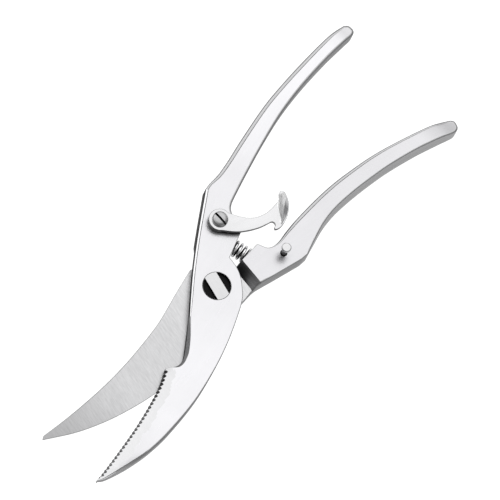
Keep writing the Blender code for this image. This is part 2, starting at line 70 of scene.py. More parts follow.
MM = 0.001                      # the pieces' sizes are in millimetres, their turns in degrees
X, Y, Z = 0, 1, 2
FACE = 10.0                     # level of the front faces
SHEAR = 5.15                    # underside of the front blade
BLADE = 4.85                    # front of the rear blade
STEP_FOOT, STEP_TOP = 13.3, 17.4  # where the ramps to the handles start and end, from the pivot
FRONT_STEP_TURN = 25.5          # direction in which this lever's ramp falls away
FRONT_SHOULDER_TURN = 17        # direction of the wall that the spring pushes on
TAPER_FROM, TAPER_TO, TAPER_LOSS = -40.0, -108.0, 2.3
HOLLOW_WIDE, HOLLOW_DEEP = 5.3, 0.8
END_DROP = 2.2                  # how far the handles' ends are rolled down
TOOTH_PITCH, TOOTH_SLOPE, TOOTH_DEEP = 2.06, 0.80, 0.33
TOOTH_START = 1.2               # from the bone notch to the first tooth
TOOTH_LEAN = 0.34               # lean of the edge where nothing is cut into it
SPRING_REACH, SPRING_LEVEL = 22.7, 5
BORE_R, BORE_DEEP = 4.1, 7
EYE = (24.0, 19.0)              # the latch's axis


def through(points, spacing=0.7):
    """A smooth line through the points, with even spacing. Further columns are carried along."""
    points = np.array(points, float)
    ends = np.vstack([2 * points[0] - points[1], points, 2 * points[-1] - points[-2]])
    t = np.linspace(0, 1, 24, endpoint=False)[:, None]
    dense = []
    for a, b, c, d in zip(ends, ends[1:], ends[2:], ends[3:]):
        dense.append(0.5 * (2 * b + (c - a) * t + (2 * a - 5 * b + 4 * c - d) * t ** 2
                            + (3 * b - 3 * c + d - a) * t ** 3))
    dense = np.vstack(dense + [points[-1:]])
    run = np.concatenate([[0], np.cumsum(np.linalg.norm(np.diff(dense[:, :2], axis=0), axis=1))])
    even = np.linspace(0, run[-1], max(1, round(run[-1] / spacing)) + 1)
    return np.column_stack([np.interp(even, run, column) for column in dense.T])


def arc(centre, radius, start, end, spacing=0.5, *carried):
    """Points on an arc, angles in degrees, with any further columns held constant."""
    count = max(2, round(abs(math.radians(end - start)) * radius / spacing))
    a = np.radians(np.linspace(start, end, count + 1))
    plan = np.column_stack([centre[0] + radius * np.cos(a), centre[1] + radius * np.sin(a)])
    return np.column_stack([plan] + [np.full(len(a), c) for c in carried])


def towards(turn):
    """Unit vector in plan, turn in degrees."""
    return np.array([math.cos(math.radians(turn)), math.sin(math.radians(turn))])


def ease(low, high, value):
    """0 below low, 1 above high, and a smooth rise between."""
    t = np.clip((value - low) / (high - low), 0, 1)
    return t * t * (3 - 2 * t)


def into_metal(plan):
    """Vectors square to a closed anticlockwise line, pointing inside, longer at its corners."""
    sides = []
    for step in (plan - np.roll(plan, 1, axis=0), np.roll(plan, -1, axis=0) - plan):
        step = step / np.linalg.norm(step, axis=1)[:, None]
        sides.append(np.column_stack([-step[:, 1], step[:, 0]]))
    middle = sides[0] + sides[1]
    middle /= np.linalg.norm(middle, axis=1)[:, None]
    return middle / np.clip((middle * sides[1]).sum(1), 0.75, 1.0)[:, None]


def left_of(line):
    """Unit vectors square to an open line, which has the metal on its left."""
    step = np.gradient(line, axis=0)
    step /= np.linalg.norm(step, axis=1)[:, None]
    return np.column_stack([-step[:, 1], step[:, 0]])


def distance_to(line, points):
    """Shortest distance from each point to an open line of points."""
    best = np.full(len(points), 1e9)
    for a, b in zip(line[:-1, :2], line[1:, :2]):
        along = b - a
        t = np.clip(((points - a) @ along) / (along @ along), 0, 1)
        best = np.minimum(best, np.linalg.norm(points - a - t[:, None] * along, axis=1))
    return best


def inside(ring, points):
    """True for the points that lie within a closed line."""
    found = np.zeros(len(points), bool)
    for a, b in zip(ring, np.roll(ring, -1, axis=0)):
        spans = (a[1] > points[:, 1]) != (b[1] > points[:, 1])
        rise = b[1] - a[1] if b[1] != a[1] else 1e-12
        found ^= spans & (points[:, 0] < a[0] + (points[:, 1] - a[1]) * (b[0] - a[0]) / rise)
    return found


def fill_points(ring, spacing, folds):
    """An even field of points inside a ring, with close rows along the fold lines (turn, distance)."""
    low, high = ring.min(0), ring.max(0)
    rows = []
    for k, y in enumerate(np.arange(low[1], high[1], spacing * 0.866)):
        x = np.arange(low[0] + (k % 2) * spacing / 2, high[0], spacing)
        rows.append(np.column_stack([x, np.full(len(x), y)]))
    field = np.vstack(rows)
    field = field[inside(ring, field)]
    closed = np.vstack([ring, ring[:1]])
    field = field[distance_to(closed, field) > spacing * 0.5]
    for turn, away in folds:
        field = field[np.abs(field @ towards(turn) - away) > 0.5]
    for turn, away in folds:
        t = np.arange(-40, 40, 0.4)[:, None]
        row = away * towards(turn) + t * towards(turn + 90)
        row = row[inside(ring, row)]
        field = np.vstack([field, row[distance_to(closed, row) > 0.3]])
    return field


def cap(ring, ring_ids, first_id, spacing, folds):
    """Triangles over a ring and the new points inside it."""
    extra = fill_points(ring, spacing, folds)
    count = len(ring)
    edges = [(i, (i + 1) % count) for i in range(count)]
    points = [Vector(p) for p in np.vstack([ring, extra])]
    made, _, faces, source, _, _ = delaunay_2d_cdt(points, edges, [], 1, 1e-6)
    if len(made) != len(points):
        print("CAP: points changed from", len(points), "to", len(made))
    ids = list(ring_ids) + [first_id + k for k in range(len(extra))]
    known = [ids[s[0]] if s else None for s in source]
    return extra, [[known[v] for v in f] for f in faces if all(known[v] is not None for v in f)]


FOOT_LEAN = 0.12                # share of a wall's lean that is reached at half its height


def forging(name, line, top, bottom, face_finish, back_finish, materials, folds=(), back_folds=(),
            spacing=1.0, back_round=0.4, guard=0.15):
    """A closed solid over a plan line, anticlockwise.

    Each point carries x, y, width and height of the face's rounding, lean of the wall, the numbers of
    the finish on the wall and on the rounding, the height of the crease at the face, and the number
    of the finish on the foot of the wall. The rows climb from the back, up the wall and over the rounding.
    """
    plan = line[:, :2]
    wide, high, lean, crease = line[:, 2], line[:, 3], line[:, 4], line[:, 7]
    square = into_metal(plan)
    rows = []
    bands = []

    def row(offset, level, finish):
        p = plan + square * np.broadcast_to(offset, len(plan))[:, None]
        rows.append(np.column_stack([p, level(p)]))
        bands.append(finish)

    row(back_round + guard, bottom, "back")
    for turn in (0, 30, 60, 90):
        a = math.radians(turn)
        row(back_round * (1 - math.sin(a)), lambda p, a=a: bottom(p) + back_round * (1 - math.cos(a)),
            "rolled back" if turn < 90 else "foot")
    row(lean * FOOT_LEAN, lambda p: bottom(p) * 0.5 + (back_round + top(p) - high) * 0.5, "wall")
    for turn in (0, 12, 24, 36, 45, 54, 63, 72, 81, 90):
        a = math.radians(turn)
        row(lean + wide * (1 - math.cos(a)), lambda p, a=a: top(p) - crease - high * (1 - math.sin(a)),
            "rolled" if turn >= 45 else "outer")
    bands[-1] = "crease"
    step_in = 0.03 + crease * 1.1
    row(lean + wide + step_in, top, "face")
    row(lean + wide + step_in + guard * np.minimum(1, wide * 4 + 0.2), top, "end")

    count = len(plan)
    verts = np.vstack(rows)
    faces, finishes = [], []
    for r in range(len(rows) - 1):
        middle = (rows[r] + rows[r + 1])[:, :2] / 2
        # The outer half of each rounding takes the wall's finish, and a crease takes the foot's finish:
        # painted shade along those rows.
        kind = {"back": back_finish(middle), "face": face_finish(middle), "wall": line[:, 5],
                "outer": line[:, 5], "rolled": line[:, 6], "rolled back": line[:, 6],
                "foot": line[:, 8], "crease": np.where(crease > 0.02, line[:, 8], line[:, 6])}[bands[r]]
        for i in range(count):
            j = (i + 1) % count
            faces.append([r * count + i, r * count + j, (r + 1) * count + j, (r + 1) * count + i])
            finishes.append(int(kind[i]))
    last = (len(rows) - 1) * count
    for ring_row, ids, level, chosen, flip in (
            (rows[-1], range(last, last + count), top, face_finish, False),
            (rows[0], range(count), bottom, back_finish, True)):
        extra, found = cap(ring_row[:, :2], ids, len(verts), spacing, back_folds if flip else folds)
        verts = np.vstack([verts, np.column_stack([extra, level(extra)])])
        centres = np.array([verts[f, :2].mean(0) for f in found])
        faces += [f[::-1] if flip else f for f in found]
        finishes += [int(k) for k in chosen(centres)]
    mesh = bpy.data.meshes.new(name)
    mesh.from_pydata((verts * MM).tolist(), [], faces)
    mesh.update()
    for material in materials:
        mesh.materials.append(material)
    mesh.polygons.foreach_set("material_index", finishes)
    return link(name, mesh)


def flat(value):
    """The same level, or the same finish number, everywhere."""
    return lambda p: np.full(len(p), float(value))


def link(name, mesh):
    """Puts a mesh into the scene as an object at the origin."""
    made = bpy.data.objects.new(name, mesh)
    bpy.context.scene.collection.objects.link(made)
    return made


def smooth(piece, degrees=32):
    """Smooth shading, with creases kept sharp beyond an angle."""
    piece.data.shade_smooth()
    piece.data.set_sharp_from_angle(angle=math.radians(degrees))


def turned(name, profile, material, centre=(0, 0), sides=96):
    """A round piece from (radius, level) corners, which run from axis to axis or right round."""
    closed = profile[0][0] > 0
    verts, rings = [], []
    for radius, level in profile:
        ids = []
        for k in range(1 if radius == 0 else sides):
            a = 2 * math.pi * k / sides
            ids.append(len(verts))
            verts.append(((centre[0] + radius * math.cos(a)) * MM,
                          (centre[1] + radius * math.sin(a)) * MM, level * MM))
        rings.append(ids)
    faces = []
    for a, b in list(zip(rings, rings[1:])) + ([(rings[-1], rings[0])] if closed else []):
        for k in range(sides):
            m = (k + 1) % sides
            corners = [a[k % len(a)], a[m % len(a)], b[m % len(b)], b[k % len(b)]]
            faces.append(list(dict.fromkeys(corners)))
    mesh = bpy.data.meshes.new(name)
    mesh.from_pydata(verts, [], faces)
    mesh.materials.append(material)
    return link(name, mesh)


def rolled(*corners, steps=4):
    """A turned profile whose corners (radius, level, rounding) are rolled over."""
    made = []
    for i, (radius, level, rounding) in enumerate(corners):
        if not rounding:
            made.append((radius, level))
            continue
        here = Vector((radius, level))
        before = (Vector(corners[i - 1][:2]) - here).normalized() * rounding
        after = (Vector(corners[(i + 1) % len(corners)][:2]) - here).normalized() * rounding
        for k in range(steps + 1):
            t = k / steps
            p = here + before * (1 - t) ** 2 + after * t ** 2
            made.append((p.x, p.y))
    return made


def prism(section, depth_from, depth_to, turn, material):
    """A prism to cut with: its section lies in the plane of `turn` and z, as (distance, level)."""
    count = len(section)
    spin = Matrix.Rotation(math.radians(turn), 4, "Z")
    verts = [spin @ Vector((d * MM, y * MM, z * MM)) for y in (depth_from, depth_to) for d, z in section]
    faces = [list(range(count)), list(range(2 * count - 1, count - 1, -1))]
    faces += [[(i + 1) % count, i, count + i, count + (i + 1) % count] for i in range(count)]
    mesh = bpy.data.meshes.new("cutter")
    mesh.from_pydata(verts, [], faces)
    if signed_volume(mesh) < 0:
        mesh.flip_normals()
    mesh.materials.append(material)
    return link("cutter", mesh)


def signed_volume(mesh):
    """Negative when the faces point inward."""
    mesh.calc_loop_triangles()
    return sum(mesh.vertices[t.vertices[0]].co.dot(
        mesh.vertices[t.vertices[1]].co.cross(mesh.vertices[t.vertices[2]].co)) for t in mesh.loop_triangles)


def combine(piece, tool, operation="DIFFERENCE"):
    """Cuts the tool out of the piece, or joins it on, keeping each one's finishes."""
    for mesh in (piece.data, tool.data):
        if signed_volume(mesh) < 0:
            mesh.flip_normals()
    step = piece.modifiers.new("step", "BOOLEAN")
    step.operation = operation
    step.solver = "EXACT"
    step.material_mode = "TRANSFER"
    step.object = tool
    bpy.context.view_layer.update()
    mesh = bpy.data.meshes.new_from_object(piece.evaluated_get(bpy.context.evaluated_depsgraph_get()))
    piece.modifiers.remove(step)
    piece.data = mesh
    bpy.data.objects.remove(tool)


def join(pieces):
    """Several cutters as one."""
    for piece in pieces:
        if signed_volume(piece.data) < 0:
            piece.data.flip_normals()
    with bpy.context.temp_override(active_object=pieces[0], selected_editable_objects=pieces):
        bpy.ops.object.join()
    return pieces[0]


def node(tree, kind, links=(), **settings):
    """A shader node with its settings and incoming links."""
    made = tree.nodes.new(kind)
    for key, value in settings.items():
        setattr(made, key, value)
    for socket, source in links:
        target = made.inputs[socket]
        if isinstance(source, bpy.types.NodeSocket):
            tree.links.new(source, target)
        else:
            target.default_value = source
    return made


def maths(tree, operation, *values):
    """The result of one arithmetic node."""
    return node(tree, "ShaderNodeMath", enumerate(values), operation=operation).outputs[0]


NOISE_LOW, NOISE_HIGH = 0.3, 0.7  # where nearly all of the noise lies


def steel(name, tone, rough, grain_turn=0.0, grain=2200.0, stretch=30.0, streak=0.05, height=2e-6,
          cloud=0.02, tint=(1.0, 1.0, 1.012), coarse=0.0, rough_vary=0.03, edge=1.0, falls=()):
    """Ground steel: fine grain along one direction, coarser streaks, and a faint cloudiness.

    Each fall is (axis, from, to, gain): between the two places the tone changes smoothly to that share.
    The falls paint light and shade into the colour.
    """
    material = bpy.data.materials.new(name)
    material.use_nodes = True
    tree = material.node_tree
    shader = tree.nodes["Principled BSDF"]
    shader.inputs["Metallic"].default_value = 1.0
    shader.inputs["Specular Tint"].default_value = (edge, edge, edge, 1.0)
    place = node(tree, "ShaderNodeTexCoord").outputs["Object"]
    lay = node(tree, "ShaderNodeMapping", [("Vector", place), ("Rotation", (0, 0, math.radians(grain_turn))),
                                           ("Scale", (stretch, 1, 1))], vector_type="TEXTURE")
    fine = node(tree, "ShaderNodeTexNoise", [("Vector", lay.outputs[0]), ("Scale", grain), ("Detail", 3.0),
                                             ("Roughness", 0.6)])
    broad = node(tree, "ShaderNodeTexNoise", [("Vector", lay.outputs[0]), ("Scale", grain * 0.22),
                                              ("Detail", 4.0), ("Roughness", 0.7)])
    mist = node(tree, "ShaderNodeTexNoise", [("Vector", place), ("Scale", 60.0), ("Detail", 3.0)])
    total = None
    for source, amount in ((fine, streak), (broad, coarse), (mist, cloud)):
        part = node(tree, "ShaderNodeMapRange", [("Value", source.outputs[0]), ("From Min", NOISE_LOW),
                                                 ("From Max", NOISE_HIGH), ("To Min", -amount),
                                                 ("To Max", amount)]).outputs[0]
        total = part if total is None else maths(tree, "ADD", total, part)
    bright = maths(tree, "ADD", total, 1.0)
    apart = node(tree, "ShaderNodeSeparateXYZ", [(0, place)])
    for axis, start, end, gain in falls:
        part = node(tree, "ShaderNodeMapRange", [("Value", apart.outputs[axis]), ("From Min", start * MM),
                                                 ("From Max", end * MM), ("To Min", 1.0), ("To Max", gain)],
                    interpolation_type="SMOOTHSTEP").outputs[0]
        bright = maths(tree, "MULTIPLY", bright, part)
    colour = node(tree, "ShaderNodeMix", [(6, (tone * tint[0], tone * tint[1], tone * tint[2], 1)),
                                          (7, (1, 1, 1, 1)), (0, 1.0)], data_type="RGBA",
                  blend_type="MULTIPLY")
    tree.links.new(bright, colour.inputs[7])
    tree.links.new(colour.outputs[2], shader.inputs["Base Color"])
    gloss = node(tree, "ShaderNodeMapRange", [("Value", fine.outputs[0]), ("From Min", NOISE_LOW),
                                              ("From Max", NOISE_HIGH), ("To Min", rough - rough_vary),
                                              ("To Max", rough + rough_vary)])
    tree.links.new(gloss.outputs[0], shader.inputs["Roughness"])
    relief = maths(tree, "ADD", fine.outputs[0], broad.outputs[0])
    bump = node(tree, "ShaderNodeBump", [("Height", relief), ("Distance", height), ("Strength", 1.0)])
    tree.links.new(bump.outputs[0], shader.inputs["Normal"])
    return material


# The face's falls are painted light and shade: lighter on the blade's root and the handle's middle, darker
# towards the tip and at the handle's rolled-down end.
front_face = steel("front face satin", 0.67, 0.30, grain_turn=8, streak=0.012, coarse=0.010,
                   tint=(0.995, 0.99, 1.015),
                   falls=((X, 10, -45, 1.07), (X, -60, -90, 0.93), (X, 40, 85, 1.09), (X, 122, 138, 0.80)))
# The rolled edges and forged sides are darker copies of the face's steel, the sides also with a dark edge
# tint: painted shade where they turn away from the light, over a rougher forged grain on the sides.
front_rolled_painted_shade = steel("rolled edge satin, painted shade", 0.46, 0.24, grain_turn=8, streak=0.05)
front_wall_painted_shade = steel("forged side, painted shade", 0.32, 0.34, grain_turn=8, streak=0.08, coarse=0.06, height=4e-6, edge=0.45)
# The hollow ground band keeps its own cross grain; its slightly lower tone is painted shade that marks the
# band.
front_hollow = steel("hollow ground", 0.635, 0.30, grain_turn=75, streak=0.02, coarse=0.015)
# The teeth's dark tone is painted shade in the notches, over real cross grinding.
tooth_painted_shade = steel("tooth grinding, painted shade", 0.22, 0.38, grain_turn=80, streak=0.20, coarse=0.1, edge=0.3)
# The bone notch's grey bevel is partly painted shade, over real grinding marks.
notch_painted_shade = steel("notch grinding, painted shade", 0.33, 0.28, grain_turn=60, streak=0.12, coarse=0.10, edge=0.6)
# Bores and wells take a dark steel: painted shade inside them.
bore_painted_shade = steel("drilled bore, painted shade", 0.22, 0.40, streak=0.15)
# The chamfer's light tone is a painted highlight along the edge from the handle to the bone notch.
chamfer_painted_highlight = steel("bright chamfer, painted highlight", 0.78, 0.26, grain_turn=30, streak=0.04)
# The spine's rounding is painted dark as a line of shade, and lighter towards the tip as a painted
# highlight.
spine_painted_light = steel("ground spine, painted shade and highlight", 0.36, 0.28, grain_turn=5, streak=0.06, edge=0.6,
                    falls=((X, -85, -100, 1.8),))
dark_side = steel("shaded side", 0.10, 0.34, grain_turn=35, streak=0.10, edge=0.2)
FRONT = [front_face, front_rolled_painted_shade, front_wall_painted_shade, front_hollow, tooth_painted_shade, notch_painted_shade, chamfer_painted_highlight,
         dark_side, spine_painted_light]
F_FACE, F_ROLLED, F_WALL, F_HOLLOW, F_TOOTH, F_NOTCH, F_CHAMFER, F_DARK, F_SPINE = range(9)

# The outlines run anticlockwise. Their columns are x, y, width of the rounding, lean and crease.
ROLL, SHALLOW_ROLL, DEEP_ROLL = 0.6, 0.55, 0.8  # height of a rolled edge as a share of its width
front_spine = through([(-108.2, -18.8, 0.05, 0, 0), (-105.0, -21.4, 0.8, 0, 0.2),
                       (-97.3, -24.4, 1.3, 0, 0.32), (-89.5, -26.6, 1.35, 0, 0.3),
                       (-80.5, -28.3, 1.3, 0, 0.0), (-68.3, -29.1, 1.2, 0, 0),
                       (-49.3, -28.2, 0.8, 0, 0), (-31.4, -25.0, 0.5, 0, 0),
                       (-17.1, -21.1, 0.4, 0, 0), (-3.8, -16.1, 0.35, 0, 0), (3.4, -12.7, 0.35, 0, 0),
                       (7.9, -8.7, 0.3, 0, 0), (11.2, -4.8, 0.3, 0, 0), (13.3, -0.6, 0.3, 0, 0),
                       (14.5, 4.43, 0.3, 0, 0)])
front_handle = through([(29.2, 9.6, 0.3), (30.0, 12.8, 0.5), (31.4, 17.0, 0.9), (34.2, 19.9, 1.1),
                        (41.0, 22.0, 1.1), (53.9, 25.2, 1.1), (68.3, 28.4, 1.1), (84.2, 31.2, 1.2),
                        (100.6, 32.5, 1.3), (118.3, 32.5, 1.4), (131.0, 31.7, 1.4), (135.6, 31.4, 1.3),
                        (137.8, 32.2, 1.2), (138.5, 34.2, 1.2), (138.1, 36.2, 1.2), (136.6, 37.4, 1.3)])
front_outer = through([(136.6, 37.4, 1.01, 0, 0.0), (131.0, 38.7, 1.25, 0, 0.08),
                       (123.6, 39.5, 1.4, 0, 0.2), (109.0, 40.1, 1.56, 0, 0.26),
                       (93.7, 40.1, 1.56, 0, 0.26), (80.2, 39.4, 1.56, 0, 0.26),
                       (61.8, 36.9, 1.56, 0, 0.26), (49.9, 34.9, 1.48, 0, 0.26),
                       (41.7, 33.9, 1.33, 0, 0.26), (35.5, 34.0, 0.94, 0, 0.22),
                       (32.2, 33.7, 1.1, 0, 0.22)])
front_chamfer = through([(32.2, 33.7, 1.1, 0, 0.22), (12.8, 22.2, 1.0, 0, 0.22), (-1.6, 13.0, 0.95, 0, 0.2),
                         (-12.0, 5.6, 0.85, 0, 0.16), (-19.6, -0.1, 0.55, 0, 0.05)])
notch_low = through([(-19.6, -0.1, 0.55, 0.0), (-27.8, -5.5, 0.1, 1.5), (-33.6, -9.2, 0.1, 1.7),
                     (-36.5, -10.8, 0.1, 1.3), (-38.7, -11.2, 0.1, 1.35), (-41.0, -10.8, 0.1, 1.3),
                     (-43.3, -9.4, 0.08, 0.6), (-45.8, -7.8, 0.05, 0.1)], 0.45)
front_edge = through([(-45.8, -7.8), (-54.5, -11.2), (-64.6, -13.6), (-74.0, -15.3), (-84.0, -16.6),
                      (-95.0, -17.7), (-108.2, -18.8)], TOOTH_PITCH / 10)


def wall_columns(line, wall, roll, share=ROLL, foot=None):
    """Adds the rounding's height, the lean, the finish numbers and the crease to x, y and width."""
    count = len(line)
    leans = line[:, 3] if line.shape[1] > 3 else np.zeros(count)
    creases = line[:, 4] if line.shape[1] > 4 else np.zeros(count)
    return np.column_stack([line[:, :3], line[:, 2] * share, leans, np.full(count, wall),
                            np.full(count, roll), creases, np.full(count, wall if foot is None else foot)])


def toothed(line):
    """The serrated edge: slanting notches, deeper at the face than at the shear plane."""
    run = np.concatenate([[0], np.cumsum(np.linalg.norm(np.diff(line, axis=0), axis=1))])
    phase = ((run - TOOTH_START) / TOOTH_PITCH) % 1
    deep = np.clip(np.minimum(phase / 0.2, (0.92 - phase) / 0.72), 0, 1)
    fade = np.minimum(ease(0.8, 1.6, run), ease(0.3, 5.0, run[-1] - run))
    plan = line + left_of(line) * (deep * fade * TOOTH_DEEP)[:, None]
    lean = (TOOTH_LEAN + deep * TOOTH_SLOPE) * np.maximum(fade, 0.2)
    rounding = np.full(len(line), 0.05)
    # The notches take the tooth finish, painted dark as shade.
    return wall_columns(np.column_stack([plan, rounding, lean]), F_TOOTH, F_TOOTH, share=1.0)


shoulder = 28.6 * towards(FRONT_SHOULDER_TURN)
# The walls, roundings, chamfer, spine, notch and teeth take the finishes painted with shade and highlight.
front_line = np.vstack([
    wall_columns(front_spine, F_WALL, F_SPINE, share=DEEP_ROLL),
    wall_columns(through([(14.5, 4.43, 0.3), (*shoulder, 0.3)]), F_WALL, F_ROLLED)[1:-1],
    wall_columns(through([(*shoulder, 0.3), (29.2, 9.6, 0.3)]), F_WALL, F_ROLLED)[:-1],
    wall_columns(front_handle, F_WALL, F_ROLLED)[:-1],
    wall_columns(front_outer, F_WALL, F_ROLLED, share=SHALLOW_ROLL)[:-1],
    wall_columns(front_chamfer, F_DARK, F_CHAMFER, share=0.5)[:-1],
    wall_columns(notch_low, F_NOTCH, F_NOTCH, foot=F_DARK)[:-1],
    toothed(front_edge)[:-1]])
tooth_line = front_edge[::5]
tip_spine = front_spine[:60]


def taper(x):
    """How much thinner the blade is here than at the pivot."""
    return np.clip((TAPER_FROM - x) / (TAPER_FROM - TAPER_TO), 0, 1.1) * TAPER_LOSS


def hollow_width(x):
    """The hollow ground band ends in a wavy line, as a hand leaves it."""
    return HOLLOW_WIDE + 0.45 * np.sin(x * 0.42) + 0.3 * np.sin(x * 0.93 + 1.0)


def front_top(p):
    """The face: thinned to the tip, hollow along the teeth, and drawn down to the spine near the tip."""
    along = p[:, X]
    away = distance_to(tooth_line, p)
    hollow = HOLLOW_DEEP * np.clip(1 - away / hollow_width(along), 0, 1) ** 1.35 * ease(-41.5, -47.5, along)
    hollow *= ease(0, 5, along + 108.2) * 0.75 + 0.25
    near = np.clip(1 - distance_to(tip_spine, p) / 4.0, 0, 1)
    drawn = 0.5 * near ** 1.6 * ease(-80, -90, along) * (1 - 0.5 * ease(-97, -106, along))
    return FACE - taper(along) - hollow - drawn - END_DROP * ease(126.5, 140, along)


def front_bottom(p):
    """The back: flat against the other blade, then a ramp down to the handle's full thickness."""
    away = p @ towards(FRONT_STEP_TURN)
    return SHEAR * (1 - np.clip((away - STEP_FOOT) / (STEP_TOP - STEP_FOOT), 0, 1))


def front_face_finish(p):
    """Hollow ground along the teeth, a touch darker as painted shade, satin elsewhere."""
    near = distance_to(tooth_line, p)
    return np.where((near < hollow_width(p[:, X])) & (p[:, X] < -44), F_HOLLOW, F_FACE)


front = forging("front_lever_forging", front_line, front_top, front_bottom, front_face_finish,
                flat(F_FACE), FRONT,
                back_folds=((FRONT_STEP_TURN, STEP_FOOT), (FRONT_STEP_TURN, STEP_TOP)))


def spring_bore(turn, into):
    """The flat-bottomed bore for one end of the spring, square to a radial shoulder."""
    bore = turned("cutter", rolled((0, -2, 0), (BORE_R, -2, 0), (BORE_R, BORE_DEEP, 0.6),
                                   (0, BORE_DEEP, 0)), bore_painted_shade)
    mouth = towards(turn) * SPRING_REACH
    away = Vector((*towards(turn + 90 * into), 0))
    bore.data.transform(Matrix.Translation((mouth[0] * MM, mouth[1] * MM, SPRING_LEVEL * MM))
                        @ away.to_track_quat("Z", "Y").to_matrix().to_4x4())
    return bore


head_seat = turned("cutter", [(0, -1), (4.3, -1), (4.3, 7.2), (6.74, 7.2), (6.74, 9.95), (6.8, 10.0),
                              (7.8, 11.0), (0, 11)], bore_painted_shade, sides=128)
screw_bore = turned("cutter", [(0, 3.7), (2.3, 3.7), (2.3, 9.8), (2.5, 10.0), (3.5, 11), (0, 11)],
                    bore_painted_shade, EYE, 64)
combine(front, join([head_seat, screw_bore, spring_bore(FRONT_SHOULDER_TURN, 1)]))

# Room for the rear lever's ramp when the handles close: an undercut that leans a little more than the ramp.
CUT_FROM, CUT_RISE, CUT_FLOOR, CUT_TURN = 12.8, 3.5, 2.65, 7
cut_to = CUT_FROM + CUT_RISE * (STEP_TOP - STEP_FOOT) / BLADE
combine(front, prism([(CUT_FROM, CUT_FLOOR), (CUT_FROM, SHEAR), (cut_to, SHEAR + CUT_RISE),
                      (cut_to, CUT_FLOOR)], -6, 2.45, CUT_TURN, front_wall_painted_shade))
smooth(front)
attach(front, "front")
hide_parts("front_lever")


# ---------------------------------------------------------------- rear lever
# Rear blade, ramp and right handle, forged in one from the same steel. The blade is cross ground on the side
# that meets the front blade, the ramp is polished with painted shade, and the handle is satin like the other
# one.

REAR_STEP_TURN = -10.0          # direction in which this lever's ramp rises
REAR_SHOULDER_TURN = -1.5       # direction of the wall that the spring pushes on
HUB_R = 13.2                    # round of the lever about the pivot
GROUND_WIDE, GROUND_EDGE = 5.5, 1.0  # ground band behind the edge, and the thickness left there
STUD_AT = (33.1, -12.55)
# The rear face darkens at the handle's rolled-down end: painted shade.
rear_face = steel("rear face satin", 0.625, 0.30, grain_turn=-14, streak=0.012, coarse=0.010,
                  tint=(0.995, 0.99, 1.015), falls=((X, 118, 134, 0.70),))
# The rear rolled edges and forged sides are darker copies of the face's steel: painted shade where they turn
# away from the light, darker still towards the pivot along the lower wall, over a rougher forged grain.
rear_rolled_painted_shade = steel("rear rolled edge, painted shade", 0.46, 0.24, grain_turn=-14, streak=0.05)
rear_wall_painted_shade = steel("rear forged side, painted shade", 0.36, 0.34, grain_turn=-14, streak=0.08, coarse=0.06, height=4e-6,
                  edge=0.62, falls=((X, 46, 34, 0.66),))
# The cross ground blade's falls are painted light and shade: lighter towards the pivot, darker towards the
# tip.
cross_ground = steel("cross ground blade", 0.54, 0.36, grain_turn=74, grain=3000, stretch=10, streak=0.13,
                     coarse=0.03, height=4e-6, falls=((X, -40, 5, 1.15), (X, -60, -106, 0.70)))
# The ramp's dark tone is painted shade, and its lightening towards negative y is a painted highlight.
ramp_painted_shade = steel("polished ramp", 0.23, 0.20, grain_turn=80, streak=0.15, coarse=0.2, edge=0.4,
                    falls=((Y, -4, -13, 2.4),))
# The rear blade's sides take a dark steel: painted shade.
rear_blade_edge_painted_shade = steel("rear blade side, painted shade", 0.26, 0.30, grain_turn=-5, streak=0.10, edge=0.5)
REAR = [rear_face, rear_rolled_painted_shade, rear_wall_painted_shade, cross_ground, ramp_painted_shade, rear_blade_edge_painted_shade]
R_FACE, R_ROLLED, R_WALL, R_CROSS, R_RAMP, R_SIDE = range(6)

rear_edge = through([(-109.0, 12.1, 0.06), (-95.8, 3.1, 0.1), (-83.2, -3.3, 0.1), (-71.5, -7.7, 0.1),
                     (-59.7, -11.1, 0.1), (-47.5, -13.3, 0.1), (-34.0, -14.2, 0.1), (-20.0, -13.6, 0.1)])
rear_lower = through([(-20.0, -13.6, 0.1, 0), (-8.0, -12.9, 0.15, 0), (4.9, -13.3, 0.3, 0),
                      (11.5, -13.5, 0.9, 0), (16.6, -14.8, 1.0, 0.1), (21.0, -16.2, 0.6, 0.2),
                      (26.9, -18.0, 0.5, 0.3), (36.5, -20.9, 0.5, 0.3)], 0.5)
rear_handle = through([(40.3, -21.3, 0.7, 0.1), (43.5, -20.6, 0.8, 0.3), (48.6, -19.5, 0.8, 0.6),
                       (57.5, -17.7, 0.8, 0.8), (66.7, -17.3, 0.8, 0.9), (78.0, -18.4, 0.8, 0.9),
                       (88.9, -20.2, 0.8, 0.8), (99.1, -22.4, 0.8, 0.8), (113.0, -26.5, 0.9, 0.7),
                       (124.7, -30.8, 1.0, 0.4), (130.1, -32.9, 1.1, 0.1), (132.6, -33.6, 1.1, 0),
                       (134.9, -33.1, 1.0, 0), (136.1, -31.2, 1.0, 0), (136.4, -29.5, 1.0, 0),
                       (135.3, -28.0, 1.0, 0)])
rear_inner = through([(135.3, -28.0, 1, 0, 0), (131.0, -25.4, 1.1, 0, 0.05), (126.6, -23.2, 0.84, 0, 0.08),
                      (118.1, -19.7, 0.91, 0, 0.16), (104.8, -14.9, 0.98, 0, 0.2),
                      (95.0, -12.0, 1.12, 0, 0.22), (85.1, -9.8, 1.26, 0, 0.24), (74.6, -7.9, 1.4, 0, 0.26),
                      (63.1, -6.8, 1.47, 0, 0.26), (50.2, -6.4, 1.4, 0, 0.26), (42.0, -6.7, 1.12, 0, 0.2),
                      (36.0, -7.3, 0.9, 0, 0.06), (32.2, -6.8, 0.5, 0, 0.0), (29.9, -5.2, 0.4, 0, 0),
                      (28.9, -2.6, 0.3, 0, 0)])
rear_shoulder = 28.2 * towards(REAR_SHOULDER_TURN)
rear_foot = HUB_R * towards(REAR_SHOULDER_TURN)
